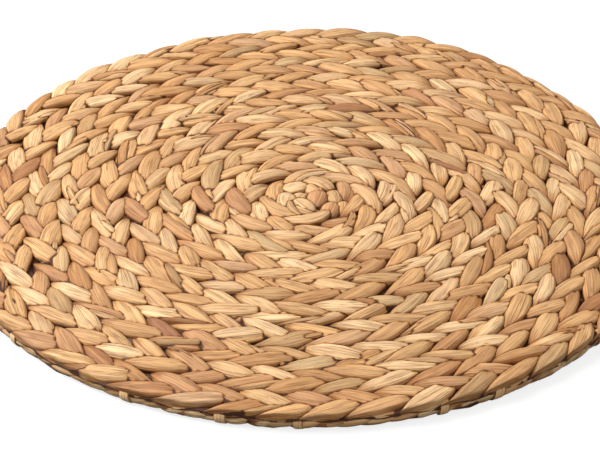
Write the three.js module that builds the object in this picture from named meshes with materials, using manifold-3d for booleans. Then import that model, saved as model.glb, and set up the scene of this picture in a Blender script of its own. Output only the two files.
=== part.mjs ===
// A round placemat: one flat plait wound in a spiral and sewn edge to edge.
// Millimetres, +Z up. The underside lies in the plane z = 0.
import * as THREE from 'three';
import { mergeVertices } from 'three/addons/utils/BufferGeometryUtils.js';
import Module from 'manifold-3d';

// Driving dimensions
const ROW_PITCH = 18.1; // width of the plait, from one seam to the next
const TAIL_ANGLE = 27; // degrees from +X towards +Y at which the tail ends
const TURNS = 11 - TAIL_ANGLE / 360; // rows from the centre to the end of the tail
const THICKNESS = 10; // height of the plait at its crown
const TAIL_SPAN = 50; // degrees over which the last row narrows to its tip
const STRAND_WAVE = 70.5; // length of plait in which a strand returns to the same edge
const STRANDS = 3; // strands in the plait
const SCALLOP_DEPTH = 1.6; // how far a strand bulges past the notches at the rim
const POINTS_PER_SCALLOP = 4;

// Profile of the rim, from the underside up: how far it is inset from the outline
const RIM = [
  { height: 0, inset: 3.2 },
  { height: 2.6, inset: 0.5 },
  { height: 6.4, inset: 0 },
  { height: THICKNESS, inset: 4.2 },
];

// Dip of the surface on each side of a seam: depth below the crown at a distance from the seam
const SEAM_DIP = [
  { fromSeam: 5.4, depth: 0 },
  { fromSeam: 2.4, depth: 1.2 },
  { fromSeam: 0, depth: 3.3 },
];
const CUTTER_CLEARANCE = 0.6; // how far the seam cutter stands clear of the crown
const FIRST_SEAM_TURN = 0.52; // turn at which the first seam leaves the centre
const RIM_STEP = 8; // degrees between stations of a seam at the rim, more further in
const SEAM_RUN_OUT = 6; // length of seam cutter past the tip of the tail
const MERGE_DISTANCE = 1e-4;

const FULL_TURN = 2 * Math.PI;
const outerTurnStart = TURNS - 1;

// Radius of the seam after a number of turns
function seamRadius(turn) {
  return ROW_PITCH * turn;
}

// Length of plait wound by the time its middle reaches a radius
function plaitLength(radius) {
  return (Math.PI * radius * radius) / ROW_PITCH;
}

// Outward bulge of the strand that turns at the rim, from notch to notch
function scallop(turn) {
  const middle = seamRadius(turn) - ROW_PITCH / 2;
  const phase = (Math.PI * STRANDS * plaitLength(middle)) / STRAND_WAVE;
  return SCALLOP_DEPTH * (Math.abs(Math.sin(phase)) - 1);
}

// Share of its width that the last row still has at a turn
function tailWidth(turn) {
  const left = ((TURNS - turn) * 360) / TAIL_SPAN;
  return THREE.MathUtils.smoothstep(left, 0, 1);
}

function rimRadius(turn) {
  const width = tailWidth(turn);
  return seamRadius(turn - 1) + width * (ROW_PITCH + scallop(turn));
}

// Turns at which the rim has its points, notch by notch along the last row
function rimTurns() {
  const step = STRAND_WAVE / STRANDS / POINTS_PER_SCALLOP;
  const start = plaitLength(seamRadius(outerTurnStart) - ROW_PITCH / 2);
  const end = plaitLength(seamRadius(TURNS) - ROW_PITCH / 2);
  const turns = [outerTurnStart];
  for (let k = Math.ceil(start / step + 0.5); k * step < end - step / 2; k += 1) {
    const middle = Math.sqrt((k * step * ROW_PITCH) / Math.PI);
    turns.push((middle + ROW_PITCH / 2) / ROW_PITCH);
  }
  return turns;
}

// The spiral opens clockwise seen from above, and its last row starts and ends at the tail
function angleAt(turn) {
  return FULL_TURN * (TURNS - turn + TAIL_ANGLE / 360);
}

function polar(radius, angle, height) {
  return new THREE.Vector3(radius * Math.cos(angle), radius * Math.sin(angle), height);
}

// Triangles that fill a flat loop and run the same way round as it does
function fillOf(loop) {
  const sense = Math.sign(THREE.ShapeUtils.area(loop));
  return THREE.ShapeUtils.triangulateShape(loop, []).map(([a, b, c]) => {
    const turn = Math.sign(THREE.ShapeUtils.area([loop[a], loop[b], loop[c]]));
    return turn === sense ? [a, b, c] : [a, c, b];
  });
}

// A closed skin over loops of equal length, with both end loops filled
function skin(loops, fill) {
  const size = loops[0].length;
  const positions = loops.flat().flatMap((p) => p.toArray());
  const index = [];
  for (let row = 0; row < loops.length - 1; row += 1) {
    for (let k = 0; k < size; k += 1) {
      const a = row * size + k;
      const b = row * size + ((k + 1) % size);
      index.push(a, b, b + size, a, b + size, a + size);
    }
  }
  const last = (loops.length - 1) * size;
  for (const [a, b, c] of fill) index.push(a, c, b, last + a, last + b, last + c);
  const geometry = new THREE.BufferGeometry();
  geometry.setAttribute('position', new THREE.Float32BufferAttribute(positions, 3));
  geometry.setIndex(index);
  return geometry;
}

// The mat before its seams are sunk: the scalloped outline with a rounded rim
function matBlank() {
  const turns = rimTurns();
  const loops = RIM.map(({ height, inset }) =>
    turns.map((turn) => polar(rimRadius(turn) - inset, angleAt(turn), height)));
  const flat = loops[0].map((p) => new THREE.Vector2(p.x, p.y));
  return skin(loops, fillOf(flat));
}

// Turns at which a seam has its stations, closer together towards the rim
function seamTurns() {
  const turns = [FIRST_SEAM_TURN];
  let turn = FIRST_SEAM_TURN;
  while (turn < outerTurnStart) {
    turn += (RIM_STEP / 360) * Math.sqrt(outerTurnStart / turn);
    turns.push(Math.min(turn, outerTurnStart));
  }
  return turns;
}

// Section of the seam cutter: out from the seam, and up from the crown
function seamSection() {
  const [edge, shoulder, bottom] = SEAM_DIP;
  const run = (edge.fromSeam - shoulder.fromSeam) / (shoulder.depth - edge.depth);
  const lip = edge.fromSeam + run * CUTTER_CLEARANCE;
  return [
    { out: lip, up: CUTTER_CLEARANCE },
    { out: shoulder.fromSeam, up: -shoulder.depth },
    { out: bottom.fromSeam, up: -bottom.depth },
    { out: -shoulder.fromSeam, up: -shoulder.depth },
    { out: -lip, up: CUTTER_CLEARANCE },
  ];
}

// The V that sinks a seam into one face of the mat
function seamCutter(crown, direction) {
  const section = seamSection();
  const loops = seamTurns().map((turn) =>
    section.map(({ out, up }) =>
      polar(seamRadius(turn) + out, angleAt(turn), crown + direction * up)));
  const tipAngle = angleAt(outerTurnStart) - SEAM_RUN_OUT / seamRadius(outerTurnStart);
  loops.push(section.map(({ out, up }) =>
    polar(seamRadius(outerTurnStart) + SEAM_RUN_OUT / 2 + out, tipAngle, crown + direction * up)));
  const face = section.map(({ out, up }) => new THREE.Vector2(out, up));
  return skin(loops, fillOf(face));
}

const wasm = await Module();
wasm.setup();

// Six times the volume that a skin encloses, negative where its faces point inwards
function signedVolume(position, corners) {
  const corner = (k) => new THREE.Vector3().fromBufferAttribute(position, corners[k]);
  let volume = 0;
  for (let k = 0; k < corners.length; k += 3) {
    volume += corner(k).dot(corner(k + 1).cross(corner(k + 2)));
  }
  return volume;
}

// A solid with its faces pointing outwards
function toSolid(geometry) {
  const merged = mergeVertices(geometry, MERGE_DISTANCE);
  const position = merged.getAttribute('position');
  const corners = Array.from(merged.getIndex().array);
  if (signedVolume(position, corners) < 0) corners.reverse();
  return new wasm.Manifold(new wasm.Mesh({
    numProp: 3,
    vertProperties: new Float32Array(position.array),
    triVerts: new Uint32Array(corners),
  }));
}

function toGeometry(solid) {
  const mesh = solid.getMesh();
  const geometry = new THREE.BufferGeometry();
  geometry.setAttribute('position', new THREE.BufferAttribute(mesh.vertProperties, 3));
  geometry.setIndex(new THREE.BufferAttribute(mesh.triVerts, 1));
  return geometry;
}

function plaitCoil() {
  const top = toSolid(seamCutter(THICKNESS, 1));
  const underside = toSolid(seamCutter(0, -1));
  const coil = toGeometry(toSolid(matBlank()).subtract(top).subtract(underside));
  coil.computeBoundingBox();
  const middle = coil.boundingBox.getCenter(new THREE.Vector3());
  coil.translate(-middle.x, -middle.y, -coil.boundingBox.min.z);
  coil.computeVertexNormals();
  const dried = new THREE.MeshStandardMaterial({ color: 0xd9ae7c, roughness: 0.62, metalness: 0 });
  const mesh = new THREE.Mesh(coil, dried);
  mesh.name = 'plait_coil';
  return mesh;
}

const placemat = new THREE.Group();
placemat.add(plaitCoil());

export default placemat;
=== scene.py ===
import math

import bmesh
import bpy
import numpy as np
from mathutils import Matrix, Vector


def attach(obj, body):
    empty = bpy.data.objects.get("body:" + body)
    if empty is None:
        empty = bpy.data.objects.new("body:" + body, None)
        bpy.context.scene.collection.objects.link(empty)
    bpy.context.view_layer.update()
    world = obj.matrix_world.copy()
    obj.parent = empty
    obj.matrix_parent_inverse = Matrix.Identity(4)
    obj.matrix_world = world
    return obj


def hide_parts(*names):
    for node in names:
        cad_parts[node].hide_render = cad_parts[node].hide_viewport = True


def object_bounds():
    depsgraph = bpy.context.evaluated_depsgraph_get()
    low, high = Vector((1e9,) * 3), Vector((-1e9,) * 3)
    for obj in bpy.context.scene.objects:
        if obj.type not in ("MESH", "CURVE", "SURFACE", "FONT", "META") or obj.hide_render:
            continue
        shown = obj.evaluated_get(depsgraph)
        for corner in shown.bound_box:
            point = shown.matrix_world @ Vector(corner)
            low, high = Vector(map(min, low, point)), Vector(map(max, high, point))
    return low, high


bl_info = {
    "name": "Plaited Placemat",
    "version": (1, 0, 0),
    "blender": (4, 5, 0),
    "location": "3D View > Sidebar > Placemat",
    "description": "A round placemat: one plait of dried stems wound in a spiral and sewn edge to edge",
    "category": "Add Mesh",
}

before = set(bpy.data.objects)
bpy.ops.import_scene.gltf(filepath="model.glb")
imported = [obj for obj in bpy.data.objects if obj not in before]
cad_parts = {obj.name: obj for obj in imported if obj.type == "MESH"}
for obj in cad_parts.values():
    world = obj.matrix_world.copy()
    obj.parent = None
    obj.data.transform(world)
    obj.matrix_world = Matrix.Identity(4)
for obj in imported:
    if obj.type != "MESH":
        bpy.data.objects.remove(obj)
CAD_LOW, CAD_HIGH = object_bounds()

MM = 0.001
FULL_TURN = 2 * math.pi
BODY = "root"
COIL_NODE = "plait_coil"
STRANDS = 3
HEIGHT = CAD_HIGH.z - CAD_LOW.z


def linear(hex_colour):
    """The linear red, green and blue of an sRGB hex colour."""
    parts = [int(hex_colour[k : k + 2], 16) / 255 for k in (0, 2, 4)]
    return tuple(c / 12.92 if c <= 0.04045 else ((c + 0.055) / 1.055) ** 2.4 for c in parts)


def length(name, description, default, **more):
    """A size in metres that the sidebar shows."""
    return bpy.props.FloatProperty(
        name=name, description=description, default=default, unit="LENGTH", precision=4, **more
    )


def colour(name, description, hex_colour):
    """A colour that the sidebar shows, written in sRGB hex."""
    return bpy.props.FloatVectorProperty(
        name=name,
        description=description,
        default=linear(hex_colour),
        subtype="COLOR",
        min=0,
        max=1,
    )


# Sizes, colours and lights


class PlaitSizes(bpy.types.PropertyGroup):
    """Sizes of the plait and of the spiral that it is wound into."""

    row_pitch: length("Row pitch", "Width of the plait, from one seam to the next", 18.1 * MM)
    turns: bpy.props.FloatProperty(
        name="Turns", description="Rows from the centre to the end of the tail", default=10.925
    )
    tail_angle: bpy.props.FloatProperty(
        name="Tail angle",
        description="Angle from +X towards +Y at which the tail ends",
        default=math.radians(27),
        subtype="ANGLE",
    )
    tail_span: bpy.props.FloatProperty(
        name="Tail span",
        description="Angle over which the last row narrows to its tip",
        default=math.radians(50),
        subtype="ANGLE",
    )
    strand_wave: length(
        "Strand wave", "Length of plait in which a strand returns to the same edge", 66 * MM
    )
    fold_reach: bpy.props.FloatProperty(
        name="Fold reach", description="Length of a fold, over the spacing of the folds", default=2.0
    )
    fold_width: length("Fold width", "Width of a strand where it lies on top", 10.5 * MM)
    fold_depth: length("Fold thickness", "Thickness of a strand where it lies on top", 5.4 * MM)
    fold_offset: length("Fold offset", "From the plait's middle to a fold's middle", 3.3 * MM)
    fold_drop: length("Fold drop", "How far the ends of a fold dive into the plait", 2.7 * MM)
    fold_slant: bpy.props.FloatProperty(
        name="Fold slant",
        description="Angle of a fold to the plait",
        default=math.radians(20),
        subtype="ANGLE",
    )
    ribbon_width: length("Ribbon width", "Width of a strand's stems laid flat", 17 * MM)
    seam_stitch: length("Seam stitch", "Length of one stitch of the sewing cord", 23 * MM)
    seam_width: length("Sewing cord width", "Width of the flat sewing cord", 5.6 * MM)
    seam_thickness: length("Sewing cord thickness", "Thickness of the sewing cord", 2.2 * MM)
    seed: bpy.props.IntProperty(name="Seed", description="Which of many like mats", default=7)


class StemFinish(bpy.types.PropertyGroup):
    """Colours, painted shade and sheen of the dried stems."""

    cream: colour("Cream", "The palest stems", "F0C896")
    straw: colour("Straw", "Most of the stems", "E0AF76")
    honey: colour("Honey", "Warmer stems", "D39F68")
    tan: colour("Tan", "Darker stems", "BF8850")
    umber: colour("Umber", "A few dark stems", "A56E47")
    russet: colour("Russet", "Reddish stems", "B47B54")
    # Colour of the dark strokes, the lines along the folds and the specks
    crease: colour("Crease", "The bottom of a crease", "8A5630")
    sage: colour("Sage", "Greyish green stems", "B5986C")
    # Painted shade: a warm tint laid over the steep flanks of a stem, beside its neighbour
    flank_shade: colour("Flank", "Tint of the flank of a stem, beside its neighbour", "EDD6AE")
    # Painted shade: the dark colour laid deep between the strands, where they press together
    inside: colour("Inside", "Where the strands press together", "4E2606")
    roughness: bpy.props.FloatProperty(
        name="Roughness", description="How dull the skin of a stem is", default=0.58, min=0, max=1
    )


class StudioSettings(bpy.types.PropertyGroup):
    """Camera and lights."""

    elevation: bpy.props.FloatProperty(
        name="Camera height",
        description="Angle of the camera above the table",
        default=math.radians(32.95),
        subtype="ANGLE",
    )
    distance: length("Camera distance", "From the camera to the middle of the mat", 1.148)
    aim_right: length("Aim right", "How far the camera stands to the right of the mat", -2.2 * MM)
    aim_up: length("Aim up", "How far the camera stands above its line to the mat", -9.4 * MM)
    lens: bpy.props.FloatProperty(
        name="Lens", description="Focal length in millimetres", default=128.6
    )
    sky: bpy.props.FloatProperty(
        name="Sky", description="Strength of the light from all round", default=0.45
    )
    key: bpy.props.FloatProperty(
        name="Key light", description="Power of the main lamp", default=37, unit="POWER"
    )
    fill: bpy.props.FloatProperty(
        name="Fill light",
        description="Power of the lamp that softens the shadows",
        default=6,
        unit="POWER",
    )
    floor: colour("Table", "Colour of the table", "F4F3F1")


# Helpers


def finished(name, bm, material):
    """A mesh object at the origin, with one material, from a bmesh."""
    mesh = bpy.data.meshes.new(name)
    bm.to_mesh(mesh)
    bm.free()
    mesh.materials.append(material)
    piece = bpy.data.objects.new(name, mesh)
    bpy.context.scene.collection.objects.link(piece)
    return piece


def add_node(tree, kind, at=(0, 0), settings=None, inputs=None):
    """Adds a node with its settings, and gives each input its value or the socket that feeds it."""
    node = tree.nodes.new(kind)
    node.location = at
    for name, value in (settings or {}).items():
        setattr(node, name, value)
    for socket, value in (inputs or {}).items():
        if isinstance(value, bpy.types.NodeSocket):
            tree.links.new(value, node.inputs[socket])
        else:
            node.inputs[socket].default_value = value
    return node


def ease(x):
    """Rises smoothly from 0 to 1 as x goes from 0 to 1."""
    x = np.clip(x, 0, 1)
    return x * x * (3 - 2 * x)


def drift(rng, x, shortest, longest, waves=6):
    """A smooth wandering between about -1 and 1 along x, made of a few long waves."""
    spans = np.geomspace(shortest, longest, waves)
    phases = rng.uniform(0, FULL_TURN, waves)
    total = sum(np.sin(FULL_TURN * x / span + phase) for span, phase in zip(spans, phases))
    return total / math.sqrt(2 * waves)


# The spiral

CENTRE_GAP = 0.5 * MM  # radius at which the inner half of the first row has no room at all
LEAST_TAIL = 0.25  # share of its width at which the plait stops narrowing at the tail


def coil_centre(sizes):
    """The point that the spiral winds round, from the CAD box."""
    whole_rows = sizes.turns + sizes.tail_angle / FULL_TURN
    reach_right = sizes.row_pitch * (whole_rows - 1)
    reach_back = sizes.row_pitch * (whole_rows - 0.25)
    return CAD_HIGH.x - reach_right, CAD_HIGH.y - reach_back


def wound(sizes, along, across, height):
    """Takes points of the straight plait to their places on the wound mat."""
    pitch = sizes.row_pitch
    middle = np.sqrt(pitch * np.maximum(along, MM) / math.pi)
    turn = middle / pitch + 0.5
    room = np.clip((middle - CENTRE_GAP) / (pitch / 2 + 2 * CENTRE_GAP), 0, 1)
    across = np.where(across < 0, across * room, across)
    left = ease((sizes.turns - turn) * FULL_TURN / sizes.tail_span)
    radius = middle - (1 - left) * pitch / 2 + across * np.maximum(left, LEAST_TAIL)
    angle = FULL_TURN * (sizes.turns - turn) + sizes.tail_angle
    centre = coil_centre(sizes)
    return np.stack(
        [centre[0] + radius * np.cos(angle), centre[1] + radius * np.sin(angle), height], axis=-1
    )


def plait_length(sizes):
    """Length of plait from the centre to the end of the tail."""
    return math.pi * sizes.row_pitch * (sizes.turns - 0.5) ** 2


def last_row_start(sizes):
    """Length of plait from the centre to the start of its last turn."""
    return math.pi * sizes.row_pitch * (sizes.turns - 1.5) ** 2


# The folds: each visible stretch of a strand

HEART_LENGTH = 27 * MM  # length of plait that is folded up in the middle of the mat
FOLDS_STOP = 12 * MM  # how far short of the tail's tip the folds end
CROWDING = 50 * MM  # extra plait that the tight turns at the centre take up
CROWDED_OVER = 65 * MM  # length of plait over which most of it is taken up
PHASE_STEPS = 6000  # places along the plait at which the swing of a strand is worked out
FIRST_FOLD = 55 / 360  # part of a strand's swing at which it lies highest on the outer side

# How far the swing wanders: its size, and the shortest and the longest of its waves
UNEVEN = (2.2 * MM, 90 * MM, 600 * MM)  # of all strands together
LAG = (0.9 * MM, 40 * MM, 160 * MM)  # of one strand by itself

# Rings of a fold, and points round each ring
UPPER_MESH = (19, 22)
LOWER_MESH = (9, 10)
RING_CROWD = 0.3  # how strongly the rings crowd towards the tips of a fold
TOP_BIAS = 0.35  # how much closer than on average the points lie on the side that shows

# Least and most of what differs from fold to fold
FOLD_LENGTHS = (0.88, 1.18)  # over the usual length
FOLD_WIDTHS = (0.82, 1.14)
FOLD_DEPTHS = (0.9, 1.12)
FOLD_SLANTS = (-7, 7)  # degrees past the usual slant
FOLD_BOWS = (-0.5, 1.3)  # mm by which the middle of a fold lies out of line with its tips
FOLD_SHIFTS = (-0.7, 0.7)  # mm across the plait from the usual place
FOLD_RISES = (-0.6, 0.4)  # mm above the crown of the mat
FOLD_ROLLS = (-14, 8)  # degrees
WIDEST_PLACES = (-0.05, 0.25)  # from -1 at one tip to 1 at the other
FIRST_TAPERS = (0.9, 1.3)  # power of the taper before the widest place
SECOND_TAPERS = (0.8, 1.15)  # and after it
STUBBIEST = 0.75  # most width of a fold over its length
TIP_SIZE = 0.004  # what is left of a fold at its tips, before the power of the taper
DIVE_POWER = 2.5  # how late a fold dives into the plait

# Creases in a fold: how many, and the least and most of each
CREASES = 5
CREASE_DEPTHS = (0.2, 0.75)  # mm
CREASE_PLACES = (0.1, 0.9)  # half turns round the side that shows
CREASE_SKEWS = (-0.35, 0.35)  # radians from the middle of a fold to its tip
CREASE_WIDTHS = (0.1, 0.24)  # radians

# Section of a fold: powers below 1 make it squarer than an ellipse
FLANK_POWER = 0.88
CROWN_POWER = 0.62
THINNING_POWER = 0.6  # how much slower the thickness tapers than the width
FLANK_RELIEF = 0.25  # share of a crease's depth that the flanks take

SEAM_LIMIT = 10.6 * MM  # how far a fold may reach from the middle of the plait, into the seam
RIM_LIMIT = 9.0 * MM  # the same where no row follows
PRESSED_OVER = 1.6 * MM  # how far short of its limit a fold starts to be squeezed

# Tone of the stems, from 0 pale to 1 dark
CENTRE_TONE = 0.28
TONE_RISE = 0.14  # from the centre to the rim
TONE_SPREAD = 0.25

# Slender stems that have worked out of their strand
LOOSE_START = HEART_LENGTH + 20 * MM
LOOSE_STOP = 40 * MM
LOOSE_SHARES = (0.35, 0.6)  # width over that of a fold
LOOSE_SHIFTS = (-4.5, 4.5)  # mm across the plait, for the slenderest
LOOSE_GAPS = (20, 90)  # mm from one to the next


def phase_table(sizes, strand):
    """Lengths along the plait, and the phase of a strand's swing there."""
    along = np.linspace(0, plait_length(sizes), PHASE_STEPS)
    rng = np.random.default_rng(sizes.seed)
    uneven = UNEVEN[0] * drift(rng, along, *UNEVEN[1:])
    own = np.random.default_rng(sizes.seed + 10 + strand)
    lag = LAG[0] * drift(own, along, *LAG[1:])
    crowded = CROWDING * (1 - np.exp(-along / CROWDED_OVER))
    phase = FULL_TURN * (along + crowded + uneven + lag) / sizes.strand_wave
    return along, phase + FULL_TURN * strand / STRANDS


def folds(sizes, strand, upper):
    """The lens-shaped folds of a strand that lie open on one side of the plait."""
    rng = np.random.default_rng(sizes.seed + 100 * (strand + 1) + upper)
    along_table, phase_at = phase_table(sizes, strand)
    swings = phase_at / FULL_TURN
    tubes = []
    half = math.ceil(2 * (swings[0] - FIRST_FOLD))
    while half / 2 + FIRST_FOLD < swings[-1]:
        swing = half / 2 + FIRST_FOLD
        along = np.interp(swing, swings, along_table)
        before, after = np.interp((swing - 0.5, swing + 0.5), swings, along_table)
        spacing = (after - before) / STRANDS
        outward = 1 if half % 2 == 0 else -1
        if HEART_LENGTH < along < plait_length(sizes) - FOLDS_STOP:
            tubes.append(fold_tube(sizes, rng, along, spacing, outward, upper))
        half += 1
    return tubes


def loose_stems(sizes):
    """Slender stems that have worked out of their strand and lie beside its folds."""
    rng = np.random.default_rng(sizes.seed + 20)
    spacing = sizes.strand_wave / STRANDS
    tubes = []
    along = LOOSE_START
    while along < plait_length(sizes) - LOOSE_STOP:
        outward = rng.choice((-1, 1))
        share = rng.uniform(*LOOSE_SHARES)
        tubes.append(fold_tube(sizes, rng, along, spacing, outward, True, share))
        along += rng.uniform(*LOOSE_GAPS) * MM
    return tubes


def ring_angles(corners):
    """Angles of the points round a ring, where the last point meets the first."""
    return np.linspace(-math.pi, math.pi, corners + 1)


def fold_tube(sizes, rng, along, spacing, outward, upper, share=1):
    """Rings of points round one fold, pointed at both ends, and what each point is like."""
    rings, corners = UPPER_MESH if upper else LOWER_MESH
    place = np.linspace(-1, 1, rings)
    place = place * (1 + RING_CROWD - RING_CROWD * place**2)
    turn = ring_angles(corners)
    turn = turn + TOP_BIAS * (np.cos(turn) + 1)
    long = spacing * sizes.fold_reach * rng.uniform(*FOLD_LENGTHS)
    wide = sizes.fold_width * rng.uniform(*FOLD_WIDTHS)
    wide = min(wide, STUBBIEST * long) * share
    thick = sizes.fold_depth * rng.uniform(*FOLD_DEPTHS) * (1 + share) / 2
    slant = sizes.fold_slant + math.radians(rng.uniform(*FOLD_SLANTS))
    taper = fold_taper(rng, place)[:, None]
    path, side, up = fold_path(sizes, rng, along, place, long, thick, slant, share)
    relief = fold_relief(rng, place, turn)

    # A cushion-shaped section, with the flat facets of a pressed stem
    cos, sin = np.cos(turn), np.sin(turn)
    half_wide = wide / 2 + FLANK_RELIEF * relief
    half_thick = thick / 2 + relief
    lean = np.sign(cos) * np.abs(cos) ** FLANK_POWER * half_wide * taper
    stand = np.sign(sin) * np.abs(sin) ** CROWN_POWER * half_thick * taper**THINNING_POWER
    points = path[:, None, :] + side[:, None, :] * lean[..., None] + up[:, None, :] * stand[..., None]
    at_rim = outward > 0 and along > last_row_start(sizes)
    points[..., 1] = outward * pressed(points[..., 1], RIM_LIMIT if at_rim else SEAM_LIMIT)
    if not upper:
        points[..., 2] = HEIGHT - points[..., 2]
    points[..., 2] = np.maximum(points[..., 2], 0)

    tone = rng.normal(CENTRE_TONE + TONE_RISE * along / plait_length(sizes), TONE_SPREAD)
    facts = {
        "stem_tone": np.clip(tone, 0, 1),
        "stem_blush": rng.random(),
        "stem_painted_shade": painted_shade(sizes, points, turn),
        "stem_end": np.abs(place)[:, None],
    }
    run = rng.uniform(0, 1) + place * long / 2
    return wound(sizes, points[..., 0], points[..., 1], points[..., 2]), run, facts


def fold_taper(rng, place):
    """Share of its full width that a fold has at each place along it."""
    widest = rng.uniform(*WIDEST_PLACES)
    lop = (place - widest) / (1 - np.sign(place - widest) * widest)
    power = np.where(place < widest, rng.uniform(*FIRST_TAPERS), rng.uniform(*SECOND_TAPERS))
    return np.maximum(1 - lop**2, TIP_SIZE) ** power


def fold_path(sizes, rng, along, place, long, thick, slant, share):
    """The path of a fold, an arch that dives at both ends, with its sideways and its upward."""
    half_long = place * long / 2
    bow = rng.uniform(*FOLD_BOWS) * MM * (1 - place**2)
    shift = rng.uniform(*FOLD_SHIFTS) * MM + rng.uniform(*LOOSE_SHIFTS) * MM * (1 - share)
    path_along = along + half_long * math.cos(slant) - bow * math.sin(slant)
    path_across = sizes.fold_offset + shift + half_long * math.sin(slant) + bow * math.cos(slant)
    top = HEIGHT - thick / 2 + rng.uniform(*FOLD_RISES) * MM
    path_height = top - sizes.fold_drop * np.abs(place) ** DIVE_POWER
    path = np.stack([path_along, path_across, path_height], axis=-1)
    forward = np.gradient(path, axis=0)
    forward /= np.linalg.norm(forward, axis=1, keepdims=True)
    side = np.stack([-forward[:, 1], forward[:, 0], np.zeros(len(place))], axis=-1)
    side /= np.linalg.norm(side, axis=1, keepdims=True)
    up = np.cross(forward, side)
    roll = math.radians(rng.uniform(*FOLD_ROLLS))
    cos, sin = math.cos(roll), math.sin(roll)
    return path, side * cos + up * sin, up * cos - side * sin


def fold_relief(rng, place, turn):
    """How far the skin of a fold stands back in its creases, at most 0."""
    relief = np.zeros((len(place), len(turn)))
    deepest = rng.uniform(*CREASE_DEPTHS) * MM
    for _ in range(CREASES):
        skewed = rng.uniform(*CREASE_PLACES) * math.pi + rng.uniform(*CREASE_SKEWS) * place[:, None]
        offset = (turn[None, :] - skewed) / rng.uniform(*CREASE_WIDTHS)
        relief -= rng.uniform(0, 1) * deepest * np.exp(-offset * offset)
    return relief


def pressed(across, limit):
    """Squeezes whatever would reach past a limit on either side of the plait."""
    past = np.maximum(across - limit + PRESSED_OVER, 0) / PRESSED_OVER
    return np.where(past > 0, limit - PRESSED_OVER + PRESSED_OVER * np.tanh(past), across)


# Painted shade, from 0 out in the open to 1 deep between the strands

LEVEL = 0.55  # height off the middle of the mat, over half its thickness
LEVEL_SHADE = 0.3  # painted shade at that level
SHADE_SLOPE = 0.6  # painted shade that is lost from the middle of the mat to its crown
# painted shade on the steep flank of a stem
FLANK_SHADE = 0.28
FLANK_FROM = 0.7  # where the flank of a stem begins, from 0 at its crown to 1 at its side
RUN_IN = 60 * MM  # length of plait over which the last row's outer side opens, from seam to rim
OPEN_FROM = 2 * MM  # across the plait
OPEN_OVER = 4 * MM
CELL = 0.5 * MM  # cell of the map that tells which tube lies on top
MAP_MARGIN = 12 * MM  # how far the map reaches past the CAD box
FINER = (8, 4)  # how many times finer a tube is sampled for the map, along it and round it
OUTLINE_REACH = (0.45 * MM, 0.9 * MM)  # how near a covering tube lays painted shade on the one beneath
OUTLINE_STEPS = 8


def painted_shade(sizes, points, turn):
    """How deep each point of a fold lies between the strands, given as painted shade."""
    off_middle = np.abs(points[..., 2] / HEIGHT - 0.5) * 2
    inside = np.clip(LEVEL_SHADE + SHADE_SLOPE * (LEVEL - off_middle), 0, 1)
    steep = np.abs(np.cos(turn))[None, :]
    flank_shade = FLANK_SHADE * ease((steep - FLANK_FROM) / (1 - FLANK_FROM))
    inside = np.maximum(inside, flank_shade)
    last_row = ease((points[..., 0] - last_row_start(sizes)) / RUN_IN)
    open_side = last_row * ease((points[..., 1] - OPEN_FROM) / OPEN_OVER)
    return inside * (1 - open_side)


def paint_outline_shade(tubes, upper):
    """Raises the painted shade of the points that lie near or beneath a tube that covers their own."""
    corner = np.array([CAD_LOW.x, CAD_LOW.y]) - MAP_MARGIN
    across = int((CAD_HIGH.y - CAD_LOW.y + 2 * MAP_MARGIN) / CELL)
    top = np.full(across * across, -1.0)
    owner = np.full(across * across, -1)
    for index, (points, _, _) in enumerate(tubes):
        fine = between(between(points, 0, FINER[0]), 1, FINER[1]).reshape(-1, 3)
        height = fine[:, 2] if upper else HEIGHT - fine[:, 2]
        rising = np.argsort(height)
        cells = ((fine[rising, :2] - corner) / CELL).astype(int)
        cells = cells[:, 0] * across + cells[:, 1]
        height = height[rising]
        higher = height > top[cells]
        top[cells[higher]] = height[higher]
        owner[cells[higher]] = index
    steps = [(0, 0)]
    for reach in OUTLINE_REACH:
        for angle in np.linspace(0, FULL_TURN, OUTLINE_STEPS, endpoint=False):
            steps.append((reach * math.cos(angle), reach * math.sin(angle)))
    for index, (points, _, facts) in enumerate(tubes):
        others = 0
        for step in steps:
            cells = ((points[..., :2] + step - corner) / CELL).astype(int)
            others = others + (owner[cells[..., 0] * across + cells[..., 1]] != index)
        facts["stem_painted_shade"] = np.maximum(facts["stem_painted_shade"], others / len(steps))


def between(points, axis, parts):
    """Points that part each step of a grid of points along an axis."""
    steps = points.shape[axis] - 1
    place = np.linspace(0, steps, steps * parts + 1)
    before = np.minimum(place.astype(int), steps - 1)
    share = (place - before).reshape((-1, 1, 1) if axis == 0 else (1, -1, 1))
    return np.take(points, before, axis) * (1 - share) + np.take(points, before + 1, axis) * share


# Meshes from rings of points

WELD = 1e-6  # distance within which points are one


def stem_tubes(name, tubes, girth, material):
    """A piece of closed tubes: grids rolled up over rings of points, with their facts and UV map."""
    bm = bmesh.new()
    layers = [bm.verts.layers.float.new(fact) for fact in tubes[0][2]]
    uv = bm.loops.layers.uv.new("stem")
    for corners in sorted({points.shape[1] for points, _, _ in tubes}):
        alike = [tube for tube in tubes if tube[0].shape[1] == corners]
        roll_up(bm, alike, girth, layers, uv)
    for face in bm.faces:
        face.smooth = True
    bmesh.ops.remove_doubles(bm, verts=bm.verts, dist=WELD)
    open_ends = [edge for edge in bm.edges if edge.is_boundary]
    bmesh.ops.holes_fill(bm, edges=open_ends, sides=0)
    bmesh.ops.recalc_face_normals(bm, faces=bm.faces)
    return finished(name, bm, material)


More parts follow.
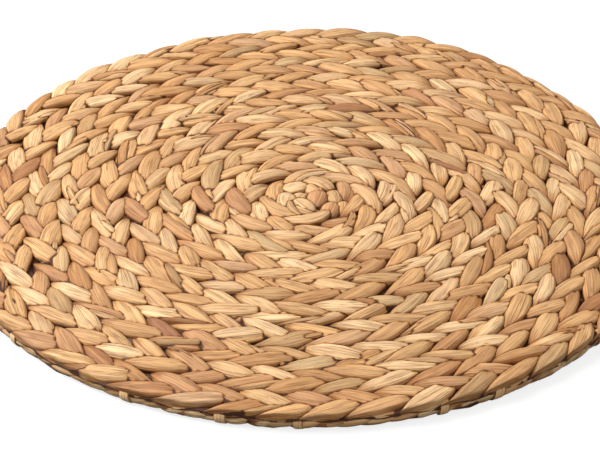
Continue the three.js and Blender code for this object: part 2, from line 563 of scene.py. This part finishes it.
def roll_up(bm, tubes, girth, layers, uv):
    """Rolls one long grid up into tubes that have the same number of points round each ring."""
    points = np.concatenate([tube[0] for tube in tubes])
    run = np.concatenate([tube[1] for tube in tubes])
    owner = np.repeat(np.arange(len(tubes)), [len(tube[1]) for tube in tubes])
    facts = [
        np.concatenate(
            [np.broadcast_to(tube_facts[fact], own.shape[:2]) for own, _, tube_facts in tubes]
        )
        for fact in tubes[0][2]
    ]
    rows, columns = points.shape[:2]
    grid = bmesh.ops.create_grid(bm, x_segments=columns - 1, y_segments=rows - 1, size=1)
    verts = grid["verts"]
    flat = np.array([vert.co[:2] for vert in verts])
    column = np.rint((flat[:, 0] + 1) / 2 * (columns - 1)).astype(int)
    row = np.rint((flat[:, 1] + 1) / 2 * (rows - 1)).astype(int)
    values = zip(*(fact[row, column] for fact in facts))
    around = (column / (columns - 1) - 0.5) * girth
    for vert, point, fact, u, v in zip(verts, points[row, column], values, run[row], around):
        vert.co = point
        for layer, value in zip(layers, fact):
            vert[layer] = value
        for loop in vert.link_loops:
            loop[uv].uv = (u, v)
    bm.verts.index_update()
    first = min(vert.index for vert in verts)
    apart = [
        face
        for face in {face for vert in verts for face in vert.link_faces}
        if len({owner[row[vert.index - first]] for vert in face.verts}) > 1
    ]
    bmesh.ops.delete(bm, geom=apart, context="FACES_ONLY")
    loose = [edge for edge in bm.edges if not edge.link_faces]
    bmesh.ops.delete(bm, geom=loose, context="EDGES")


# The sewing cord, and the core that closes the gaps beneath the folds; both take the dark colour of
# painted shade

CORD_CORNERS = 8
CORD_LUMPS = (0.1, 6 * MM, 40 * MM)  # size of the lumps in a cord, and their least and most length
SEWING_START = 12 * MM
SEWING_STOP = 45 * MM  # how far short of the tail's tip it ends
SEWING_STEP = 3.5 * MM
SEWING_DIP = 0.7 * MM  # how far the cord rises and dips
SEWING_INSET = 2.6 * MM  # how far it draws in where no row follows
CORE_START = 16 * MM
CORE_STOP = 30 * MM
CORE_STEP = 6 * MM
CORE_WIDTH = 14 * MM
CORE_THICKNESS = 2 * MM


def cord_tube(sizes, along, across, height, wide, thick):
    """Rings of points round a slender cord that runs with the plait."""
    rng = np.random.default_rng(sizes.seed)
    path = np.stack(np.broadcast_arrays(along, across, height), axis=-1)
    turn = ring_angles(CORD_CORNERS)
    lumpy = (1 + CORD_LUMPS[0] * drift(rng, along, *CORD_LUMPS[1:]))[:, None]
    ring_across = path[:, 1:2] + np.cos(turn) * wide / 2 * lumpy
    ring_height = np.maximum(path[:, 2:] + np.sin(turn) * thick / 2 * lumpy, 0)
    ring_along = np.broadcast_to(path[:, :1], ring_across.shape)
    steps = np.linalg.norm(np.diff(path, axis=0), axis=1)
    run = np.concatenate([[0], np.cumsum(steps)])
    # Painted shade: the whole cord takes the dark shade colour
    facts = {"stem_tone": 0.7, "stem_blush": 0.5, "stem_painted_shade": 1.0, "stem_end": 0.0}
    return wound(sizes, ring_along, ring_across, ring_height), run, facts


# The rim cord and its wraps

RIM_ACROSS = 6.3 * MM  # from the middle of the plait to the middle of the rim cord
RIM_HEIGHT = 3.3 * MM
RIM_COIL = 1.1 * MM  # how far a stem of the rim cord keeps from the cord's middle
RIM_STRETCH = 1.3  # how much further it does so up and down
RIM_STEM = (5.4 * MM, 4.0 * MM)  # width and thickness of a stem of the rim cord
RIM_STOP = 40 * MM  # how far short of the tail's tip the rim cord ends
RIM_MESH = (13, 10)  # rings of a stem, and points round each ring
RIM_STEM_LENGTHS = (17, 26)  # mm
RIM_STEM_GIRTHS = (0.85, 1.1)  # over the usual width and thickness
RIM_STEM_TAPERS = (0.5, 0.9)  # power of the taper
RIM_STEM_TWISTS = (0.6, 1.3)  # radians from the middle of a stem to its tip
RIM_STEM_TONES = (-0.1, 0.5)
RIM_STEM_GAPS = (8, 12)  # mm from one to the next
RIM_TIP_SIZE = 0.01
# painted shade at the tips of a rim stem
RIM_TIP_SHADE = 0.45
WRAP_MESH = (15, 8)
WRAP_ANGLE = math.radians(130)  # how far a wrap goes round the rim cord, up and down
WRAP_WIDTHS = (4, 6.5)  # mm
WRAP_LEANS = (-1.5, 1.5)  # mm
WRAP_TONES = (0, 0.4)
WRAP_GAPS = (18, 80)  # mm from one to the next
WRAP_THICKNESS = 0.5 * MM
WRAP_SINK = 0.3 * MM  # how far a wrap presses into the rim cord
# painted shade along the two edges of a wrap
WRAP_EDGE_SHADE = 0.4
WRAP_GIRTH = 8 * MM
FIRST_WRAP = 15 * MM  # from the start of the rim cord
LAST_WRAP = 20 * MM  # from its end


def rim_stem(sizes, rng, along):
    """Rings of points round one short stem of the twisted cord under the rim."""
    place = np.linspace(-1, 1, RIM_MESH[0])
    turn = ring_angles(RIM_MESH[1])
    long = rng.uniform(*RIM_STEM_LENGTHS) * MM
    wide, thick = (size * rng.uniform(*RIM_STEM_GIRTHS) for size in RIM_STEM)
    taper = np.maximum(1 - place**2, RIM_TIP_SIZE) ** rng.uniform(*RIM_STEM_TAPERS)
    twist = -place * rng.uniform(*RIM_STEM_TWISTS)
    across = RIM_ACROSS + RIM_COIL * np.cos(twist)
    height = RIM_HEIGHT + RIM_STRETCH * RIM_COIL * np.sin(twist)
    across = across[:, None] + np.cos(turn) * (taper * thick / 2)[:, None]
    height = height[:, None] + np.sin(turn) * (taper * wide / 2)[:, None]
    path = np.broadcast_to((along + place * long / 2)[:, None], across.shape)
    facts = {
        "stem_tone": rng.uniform(*RIM_STEM_TONES),
        "stem_blush": rng.random(),
        "stem_painted_shade": RIM_TIP_SHADE * np.abs(place)[:, None] ** 3,
        "stem_end": np.abs(place)[:, None],
    }
    run = rng.uniform(0, 1) + place * long / 2
    return wound(sizes, path, across, np.maximum(height, 0)), run, facts


def wrap_tube(sizes, rng, along):
    """Rings of points round a flat stem that binds the rim cord to the plait."""
    angle = np.linspace(-WRAP_ANGLE, WRAP_ANGLE, WRAP_MESH[0])
    turn = ring_angles(WRAP_MESH[1])
    wide = rng.uniform(*WRAP_WIDTHS) * MM
    radius = RIM_COIL + RIM_STEM[0] / 2 - WRAP_SINK
    reach = radius + WRAP_THICKNESS / 2 * np.sin(turn)[None, :]
    across = RIM_ACROSS + reach * np.cos(angle)[:, None]
    height = np.maximum(RIM_HEIGHT + reach * np.sin(angle)[:, None], 0)
    lean = rng.uniform(*WRAP_LEANS) * MM * np.sin(angle)[:, None]
    place = along + wide / 2 * np.cos(turn)[None, :] + lean
    facts = {
        "stem_tone": rng.uniform(*WRAP_TONES),
        "stem_blush": 0.5,
        "stem_painted_shade": WRAP_EDGE_SHADE * np.abs(np.cos(turn))[None, :] ** 6,
        "stem_end": 0.0,
    }
    return wound(sizes, place, across, height), angle * radius, facts


# The heart, where the plait begins

# Across, up, turned in degrees, long, wide and top in mm, tone and blush of each folded stem
HEART_STEMS = (
    (2.6, 3.2, 78, 17, 12, 10.2, 0.5, 0.93),
    (-7.5, 3.6, 60, 15, 11, 9.2, 0.1, 0.5),
    (-5.0, -5.4, -56, 19, 12, 10.6, 0.05, 0.4),
    (0.8, -12.4, 20, 15, 10, 8.6, 0.4, 0.86),
    (9.6, -6.2, 76, 17, 11, 9.0, 0.4, 0.9),
    (11.8, 5.0, 98, 17, 10.5, 9.3, 0.4, 0.04),
    (15.5, -3.5, 85, 16, 9, 8.2, 0.2, 0.3),
    (0.6, 13.0, 125, 17, 12.5, 9.4, 0.2, 0.8),
    (-9.8, 10.2, 50, 16, 11, 8.8, 0.4, 0.12),
    (-13, -1.5, 95, 17, 9, 8.2, 0.35, 0.4),
)
HEART_THICKNESS = 6 * MM
HEART_CORE = (34 * MM, 30 * MM, 4 * MM, 6.5 * MM)  # long, wide, thick and top of the dark stem beneath, coloured wholly in painted shade
PETAL_MESH = (15, 16)
PETAL_TIP_SIZE = 0.02
PETAL_TAPER = 0.55
PETAL_DROOP = 0.12  # how far the tips hang, over the thickness


def petal_tube(centre, angle, long, wide, thick, top, facts):
    """Rings of points round a short curled stem that lies flat, pointed at both ends."""
    place = np.linspace(-1, 1, PETAL_MESH[0])
    turn = ring_angles(PETAL_MESH[1])
    taper = np.maximum(1 - place**2, PETAL_TIP_SIZE) ** PETAL_TAPER
    forward = np.array([math.cos(angle), math.sin(angle), 0])
    side = np.array([-forward[1], forward[0], 0])
    path = np.array([*centre, top - thick / 2])
    path = path + (place * long / 2)[:, None] * forward
    path[:, 2] -= PETAL_DROOP * thick * place**2
    across = np.cos(turn)[None, :] * (taper * wide / 2)[:, None]
    height = np.sin(turn)[None, :] * (taper * thick / 2)[:, None]
    points = path[:, None, :] + side * across[..., None]
    points[..., 2] = np.maximum(points[..., 2] + height, 0)
    return points, (place + 1) * long / 2, facts


def heart_stems(sizes):
    """The short stems folded into the middle of the mat, and a dark one beneath them, coloured wholly
    in painted shade.
    """
    centre = coil_centre(sizes)
    tubes = []
    for x, y, angle, long, wide, top, tone, blush in HEART_STEMS:
        place = (centre[0] + x * MM, centre[1] + y * MM)
        facts = {"stem_tone": tone, "stem_blush": blush, "stem_painted_shade": 0.0, "stem_end": 0.5}
        shape = (long * MM, wide * MM, HEART_THICKNESS, top * MM)
        tubes.append(petal_tube(place, math.radians(angle), *shape, facts))
    # The dark stem beneath takes the full painted shade
    facts = {"stem_tone": 0.7, "stem_blush": 0.5, "stem_painted_shade": 1.0, "stem_end": 1.0}
    tubes.append(petal_tube(centre, 0, *HEART_CORE, facts))
    return tubes


# Materials

MIX_A, MIX_B, MIX_RESULT = 6, 7, 2  # colour sockets of a Mix node

# Noise drawn out along the stem: name, length and width of its grain in mm, detail
GRAINS = (
    ("fibre", 26, 0.5, 3),
    ("stroke", 24, 0.6, 2),
    ("fold", 60, 2.2, 1),
    ("patch", 16, 6, 3),
    ("thick", 9, 5, 1),
    ("speck", 1.6, 1.0, 1),
)
TABLE_GLOW = 0.78  # share of the table's white that no shadow takes away
TABLE_REACH = 6  # metres from the middle of the table to each side


def stem_facts(tree):
    """What the stems' points are like, read from the mesh."""
    facts = {}
    for row, fact in enumerate(("stem_tone", "stem_blush", "stem_painted_shade", "stem_end")):
        at = (-2200, 300 + 200 * row)
        reader = add_node(tree, "ShaderNodeAttribute", at, {"attribute_name": fact})
        facts[fact] = reader.outputs["Fac"]
    return facts


def stem_grains(tree):
    """The noise of each grain along the stem, by name."""
    stem = add_node(tree, "ShaderNodeUVMap", (-2200, 0)).outputs["UV"]
    noise = {}
    for row, (name, long, wide, detail) in enumerate(GRAINS):
        scale = (1 / (long * MM), 1 / (wide * MM), 1)
        mapping = add_node(
            tree, "ShaderNodeMapping", (-1900, -300 * row),
            inputs={"Vector": stem, "Location": (row, row, row), "Scale": scale},
        )
        grain = add_node(
            tree, "ShaderNodeTexNoise", (-1700, -300 * row),
            inputs={"Vector": mapping.outputs["Vector"], "Scale": 1, "Detail": detail},
        )
        noise[name] = grain.outputs["Fac"]
    return noise


def stem_tint(tree, finish, facts, noise):
    """Colour of a stem: it has its own tone, which drifts a little along its length."""
    tone = add_node(
        tree, "ShaderNodeMath", (-1400, 300), {"operation": "MULTIPLY_ADD"},
        {0: noise["patch"], 1: 0.5, 2: facts["stem_tone"]},
    )
    tone = add_node(
        tree, "ShaderNodeMath", (-1200, 300), {"operation": "SUBTRACT"},
        {0: tone.outputs[0], 1: 0.25},
    )
    ramp = add_node(tree, "ShaderNodeValToRGB", (-1000, 300), inputs={"Fac": tone.outputs[0]})
    stops = (
        (0.02, finish.cream),
        (0.35, finish.straw),
        (0.65, finish.honey),
        (0.84, finish.tan),
        (0.98, finish.umber),
    )
    while len(ramp.color_ramp.elements) < len(stops):
        ramp.color_ramp.elements.new(0.5)
    for element, (place, tint) in zip(ramp.color_ramp.elements, stops):
        element.position = place
        element.color = (*tint, 1)

    # A share of the stems is reddish, and another is a greyish green
    tinted = ramp.outputs["Color"]
    others = ((0.72, 1.0, finish.russet), (0.16, 0.0, finish.sage))
    for row, (low, high, tint) in enumerate(others):
        share = add_node(
            tree, "ShaderNodeMapRange", (-800, 600 + 300 * row),
            inputs={"Value": facts["stem_blush"], "From Min": low, "From Max": high, "To Max": 0.6},
        )
        mixed = add_node(
            tree, "ShaderNodeMix", (-600, 300 + 300 * row), {"data_type": "RGBA"},
            {"Factor": share.outputs[0], MIX_A: tinted, MIX_B: (*tint, 1)},
        )
        tinted = mixed.outputs[MIX_RESULT]
    return tinted


def dark_marks(tree, facts, noise):
    """Where a stem has a dark stroke, line or spot, from 0 to 1."""
    crowd = add_node(
        tree, "ShaderNodeMapRange", (-1400, -300),
        inputs={"Value": facts["stem_end"], "From Min": 0.3, "To Max": 0.12},
    )
    level = add_node(
        tree, "ShaderNodeMath", (-1200, -300), {"operation": "MULTIPLY_ADD"},
        {0: noise["thick"], 1: -0.25, 2: noise["stroke"]},
    )
    level = add_node(
        tree, "ShaderNodeMath", (-1000, -300), {"operation": "SUBTRACT"},
        {0: level.outputs[0], 1: crowd.outputs[0]},
    )
    stroke = add_node(
        tree, "ShaderNodeMapRange", (-800, -300),
        inputs={
            "Value": level.outputs[0],
            "From Min": 0.25,
            "From Max": 0.31,
            "To Min": 0.7,
            "To Max": 0.0,
        },
    )
    ridge = add_node(
        tree, "ShaderNodeMath", (-1200, -600), {"operation": "COMPARE"},
        {0: noise["fold"], 1: 0.5, 2: 0.012},
    )
    line = add_node(
        tree, "ShaderNodeMath", (-1000, -600), {"operation": "MULTIPLY"},
        {0: ridge.outputs[0], 1: 0.5},
    )
    dark = add_node(
        tree, "ShaderNodeMath", (-600, -300), {"operation": "MAXIMUM"},
        {0: stroke.outputs[0], 1: line.outputs[0]},
    )
    spot = add_node(
        tree, "ShaderNodeMapRange", (-800, -900),
        inputs={"Value": noise["speck"], "From Min": 0.27, "From Max": 0.2, "To Max": 0.7},
    )
    dark = add_node(
        tree, "ShaderNodeMath", (-400, -300), {"operation": "MAXIMUM"},
        {0: dark.outputs[0], 1: spot.outputs[0]},
    )
    return dark.outputs[0]


def stem_colour(tree, finish, facts, tinted, pleat, dark):
    """The tint with its fibres, marks and brown tips, with painted shade on the flanks and deep between
    the strands.
    """
    streak = add_node(
        tree, "ShaderNodeMapRange", (-1400, 0),
        inputs={"Value": pleat, "From Min": 0.5, "To Min": 0.66, "To Max": 1.12},
    )
    skin = add_node(
        tree, "ShaderNodeMix", (-400, 300), {"data_type": "RGBA", "blend_type": "MULTIPLY"},
        {"Factor": 1.0, MIX_A: tinted, MIX_B: streak.outputs[0]},
    )
    tip = add_node(
        tree, "ShaderNodeMapRange", (-400, 0),
        inputs={"Value": facts["stem_end"], "From Min": 0.35, "From Max": 0.95, "To Max": 0.4},
    )
    aged = add_node(
        tree, "ShaderNodeMix", (-300, 300), {"data_type": "RGBA"},
        {"Factor": tip.outputs[0], MIX_A: skin.outputs[MIX_RESULT], MIX_B: (*finish.tan, 1)},
    )
    creased = add_node(
        tree, "ShaderNodeMix", (-200, 300), {"data_type": "RGBA"},
        {"Factor": dark, MIX_A: aged.outputs[MIX_RESULT], MIX_B: (*finish.crease, 1)},
    )
    # Painted shade: a warm tint on the steep flanks, then the dark shade colour deep between the
    # strands
    beside = add_node(
        tree, "ShaderNodeMapRange", (-400, 900), {"interpolation_type": "SMOOTHSTEP"},
        {"Value": facts["stem_painted_shade"], "From Min": 0.1, "From Max": 0.4},
    )
    flank_shaded = add_node(
        tree, "ShaderNodeMix", (-100, 300), {"data_type": "RGBA", "blend_type": "MULTIPLY"},
        {"Factor": beside.outputs[0], MIX_A: creased.outputs[MIX_RESULT], MIX_B: (*finish.flank_shade, 1)},
    )
    beneath = add_node(
        tree, "ShaderNodeMapRange", (-200, 900), {"interpolation_type": "SMOOTHSTEP"},
        {"Value": facts["stem_painted_shade"], "From Min": 0.33, "From Max": 0.54},
    )
    body = add_node(
        tree, "ShaderNodeMix", (0, 300), {"data_type": "RGBA"},
        {"Factor": beneath.outputs[0], MIX_A: flank_shaded.outputs[MIX_RESULT], MIX_B: (*finish.inside, 1)},
    )
    return body.outputs[MIX_RESULT]


def stem_material(finish):
    """Dried water hyacinth stem: a satin straw skin, with fine ridges, dark lines along its folds, and
    painted shade between the strands.
    """
    material = bpy.data.materials.new("dried_hyacinth_stem")
    material.use_nodes = True
    tree = material.node_tree
    tree.nodes.clear()
    facts = stem_facts(tree)
    noise = stem_grains(tree)
    pleat = add_node(
        tree, "ShaderNodeMath", (-1600, 0), {"operation": "MULTIPLY_ADD"},
        {0: noise["fold"], 1: 0.5, 2: noise["fibre"]},
    ).outputs[0]
    dark = dark_marks(tree, facts, noise)
    tinted = stem_tint(tree, finish, facts, noise)
    body = stem_colour(tree, finish, facts, tinted, pleat, dark)
    relief = add_node(
        tree, "ShaderNodeMath", (-200, -300), {"operation": "MULTIPLY_ADD"},
        {0: dark, 1: -0.9, 2: pleat},
    )
    bump = add_node(
        tree, "ShaderNodeBump", (0, -200),
        inputs={"Strength": 0.8, "Distance": 0.4 * MM, "Height": relief.outputs[0]},
    )
    shader = add_node(
        tree, "ShaderNodeBsdfPrincipled", (250, 200),
        inputs={
            "Base Color": body,
            "Roughness": finish.roughness,
            "IOR": 1.45,
            "Normal": bump.outputs["Normal"],
        },
    )
    add_node(
        tree, "ShaderNodeOutputMaterial", (600, 200), inputs={"Surface": shader.outputs["BSDF"]}
    )
    return material


def table_material(studio):
    """White table top: matt laminate, which goes to plain white where no shadow falls on it."""
    material = bpy.data.materials.new("white_matt_laminate")
    material.use_nodes = True
    tree = material.node_tree
    tree.nodes.clear()
    rays = add_node(tree, "ShaderNodeLightPath", (-600, 200))
    diffuse = add_node(
        tree, "ShaderNodeBsdfDiffuse", (-300, 0), inputs={"Color": (*studio.floor, 1)}
    )
    glow = add_node(
        tree, "ShaderNodeEmission", (-300, 200),
        inputs={"Color": (1, 1, 1, 1), "Strength": rays.outputs["Is Camera Ray"]},
    )
    both = add_node(
        tree, "ShaderNodeMixShader", (0, 100),
        inputs={0: TABLE_GLOW, 1: diffuse.outputs["BSDF"], 2: glow.outputs["Emission"]},
    )
    add_node(tree, "ShaderNodeOutputMaterial", (250, 100), inputs={"Surface": both.outputs["Shader"]})
    return material


# Operators


class PLACEMAT_OT_strands(bpy.types.Operator):
    """Plaits three strands of dried stems and winds them into the mat"""

    bl_idname = "placemat.strands"
    bl_label = "Strands"

    def execute(self, context):
        sizes = context.scene.placemat_plait
        material = stem_material(context.scene.placemat_stem)
        girth = 2 * sizes.ribbon_width
        upper = [folds(sizes, strand, upper=True) for strand in range(STRANDS)]
        lower = [folds(sizes, strand, upper=False) for strand in range(STRANDS)]
        upper[0] += heart_stems(sizes)
        loose = loose_stems(sizes)
        # Painted shade along the lines where one tube covers another
        paint_outline_shade(sum(upper, []) + loose, upper=True)
        paint_outline_shade(sum(lower, []), upper=False)
        for strand in range(STRANDS):
            tubes = upper[strand] + lower[strand]
            piece = stem_tubes(f"strand_{strand + 1}", tubes, girth, material)
            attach(piece, BODY)
            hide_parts(COIL_NODE)
        piece = stem_tubes("loose_stems", loose, girth, material)
        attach(piece, BODY)
        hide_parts(COIL_NODE)
        return {"FINISHED"}


class PLACEMAT_OT_sewing(bpy.types.Operator):
    """Sews the rows together with a flat cord that dips up and down along the seam"""

    bl_idname = "placemat.sewing"
    bl_label = "Sewing cord"

    def execute(self, context):
        sizes = context.scene.placemat_plait
        material = stem_material(context.scene.placemat_stem)
        along = np.arange(SEWING_START, plait_length(sizes) - SEWING_STOP, SEWING_STEP)
        height = HEIGHT / 2 + SEWING_DIP * np.sin(FULL_TURN * along / sizes.seam_stitch)
        wide, thick = sizes.seam_width, sizes.seam_thickness
        inset = SEWING_INSET * ease((along - last_row_start(sizes)) / RUN_IN)
        # The sewing cord is coloured wholly in painted shade
        tube = cord_tube(sizes, along, sizes.row_pitch / 2 - inset, height, wide, thick)
        piece = stem_tubes("sewing_cord", [tube], 2 * wide, material)
        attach(piece, BODY)
        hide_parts(COIL_NODE)

        # A dark core beneath the folds, coloured wholly in painted shade, fills the gaps between them
        along = np.arange(CORE_START, plait_length(sizes) - CORE_STOP, CORE_STEP)
        tube = cord_tube(sizes, along, 0, HEIGHT / 2, CORE_WIDTH, CORE_THICKNESS)
        piece = stem_tubes("shade_core", [tube], 2 * CORE_WIDTH, material)
        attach(piece, BODY)
        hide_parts(COIL_NODE)
        return {"FINISHED"}


class PLACEMAT_OT_rim(bpy.types.Operator):
    """Lays a twisted cord of short stems under the rim, and binds it on with wraps"""

    bl_idname = "placemat.rim"
    bl_label = "Rim cord"

    def execute(self, context):
        sizes = context.scene.placemat_plait
        material = stem_material(context.scene.placemat_stem)
        rng = np.random.default_rng(sizes.seed + 40)
        start = last_row_start(sizes)
        stop = plait_length(sizes) - RIM_STOP
        stems = []
        place = start
        while place < stop:
            stems.append(rim_stem(sizes, rng, place))
            place += rng.uniform(*RIM_STEM_GAPS) * MM
        piece = stem_tubes("rim_cord", stems, sum(RIM_STEM), material)
        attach(piece, BODY)
        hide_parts(COIL_NODE)

        wraps = []
        place = start + FIRST_WRAP
        while place < stop - LAST_WRAP:
            wraps.append(wrap_tube(sizes, rng, place))
            place += rng.uniform(*WRAP_GAPS) * MM
        piece = stem_tubes("rim_wraps", wraps, WRAP_GIRTH, material)
        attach(piece, BODY)
        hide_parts(COIL_NODE)
        return {"FINISHED"}


class PLACEMAT_OT_studio(bpy.types.Operator):
    """Sets the table, the soft lights and the camera"""

    bl_idname = "placemat.studio"
    bl_label = "Studio"

    def execute(self, context):
        scene = context.scene
        studio = scene.placemat_studio
        scene.view_settings.view_transform = "Standard"
        bm = bmesh.new()
        bmesh.ops.create_grid(bm, x_segments=1, y_segments=1, size=TABLE_REACH)
        floor = finished("table_top", bm, table_material(studio))
        make_camera(scene, studio)
        make_lights(scene, studio)
        return {"FINISHED"}


def make_camera(scene, studio):
    """A long lens that looks down on the mat from the front."""
    back = Vector((0, -math.cos(studio.elevation), math.sin(studio.elevation)))
    turned = (-back).to_track_quat("-Z", "Y")
    camera = bpy.data.cameras.new("camera")
    camera.lens = studio.lens
    holder = bpy.data.objects.new("camera", camera)
    holder.rotation_euler = turned.to_euler()
    holder.location = back * studio.distance
    holder.location += turned @ Vector((studio.aim_right, studio.aim_up, 0))
    scene.collection.objects.link(holder)
    scene.camera = holder


def make_lights(scene, studio):
    """White sky all round, a broad key lamp high on the left and a weak fill from the front."""
    world = bpy.data.worlds.new("studio_sky")
    world.use_nodes = True
    tree = world.node_tree
    tree.nodes.clear()
    rays = add_node(tree, "ShaderNodeLightPath", (-800, 0))
    seen = add_node(
        tree, "ShaderNodeMath", (-600, 0), {"operation": "MAXIMUM"},
        {0: rays.outputs["Is Camera Ray"], 1: rays.outputs["Is Transmission Ray"]},
    )
    strength = add_node(
        tree, "ShaderNodeMapRange", (-400, 0),
        inputs={"Value": seen.outputs["Value"], "To Min": studio.sky, "To Max": 1.0},
    )
    sky = add_node(
        tree, "ShaderNodeBackground", (-200, 0),
        inputs={"Color": (1, 1, 1, 1), "Strength": strength.outputs["Result"]},
    )
    add_node(tree, "ShaderNodeOutputWorld", (0, 0), inputs={"Surface": sky.outputs["Background"]})
    scene.world = world

    # Name, power, width and place of each lamp
    lamps = (
        ("key_lamp", studio.key, 0.9, Vector((-1.0, 0.25, 1.1))),
        ("fill_lamp", studio.fill, 1.4, Vector((0.6, -1.1, 1.3))),
    )
    for name, power, size, place in lamps:
        lamp = bpy.data.lights.new(name, "AREA")
        lamp.energy = power
        lamp.size = size
        holder = bpy.data.objects.new(name, lamp)
        holder.location = place
        holder.rotation_euler = (-place).to_track_quat("-Z", "Y").to_euler()
        scene.collection.objects.link(holder)


STEPS = (
    PLACEMAT_OT_strands,
    PLACEMAT_OT_sewing,
    PLACEMAT_OT_rim,
    PLACEMAT_OT_studio,
)


class PLACEMAT_PT_sidebar(bpy.types.Panel):
    """Lists the sizes, the finish and the steps that make the mat"""

    bl_idname = "PLACEMAT_PT_sidebar"
    bl_label = "Plaited placemat"
    bl_space_type = "VIEW_3D"
    bl_region_type = "UI"
    bl_category = "Placemat"

    def draw(self, context):
        layout = self.layout
        scene = context.scene
        for group in (scene.placemat_plait, scene.placemat_stem, scene.placemat_studio):
            box = layout.box()
            for name in group.__annotations__:
                box.prop(group, name)
        for operator in STEPS:
            layout.operator(operator.bl_idname)


CLASSES = (PlaitSizes, StemFinish, StudioSettings, *STEPS, PLACEMAT_PT_sidebar)
GROUPS = {
    "placemat_plait": PlaitSizes,
    "placemat_stem": StemFinish,
    "placemat_studio": StudioSettings,
}


def register():
    for cls in CLASSES:
        bpy.utils.register_class(cls)
    for name, group in GROUPS.items():
        setattr(bpy.types.Scene, name, bpy.props.PointerProperty(type=group))


def unregister():
    for name in GROUPS:
        delattr(bpy.types.Scene, name)
    for cls in reversed(CLASSES):
        bpy.utils.unregister_class(cls)


def main():
    register()
    bpy.ops.placemat.studio()
    bpy.ops.placemat.strands()
    bpy.ops.placemat.sewing()
    bpy.ops.placemat.rim()


if __name__ == "__main__":
    main()
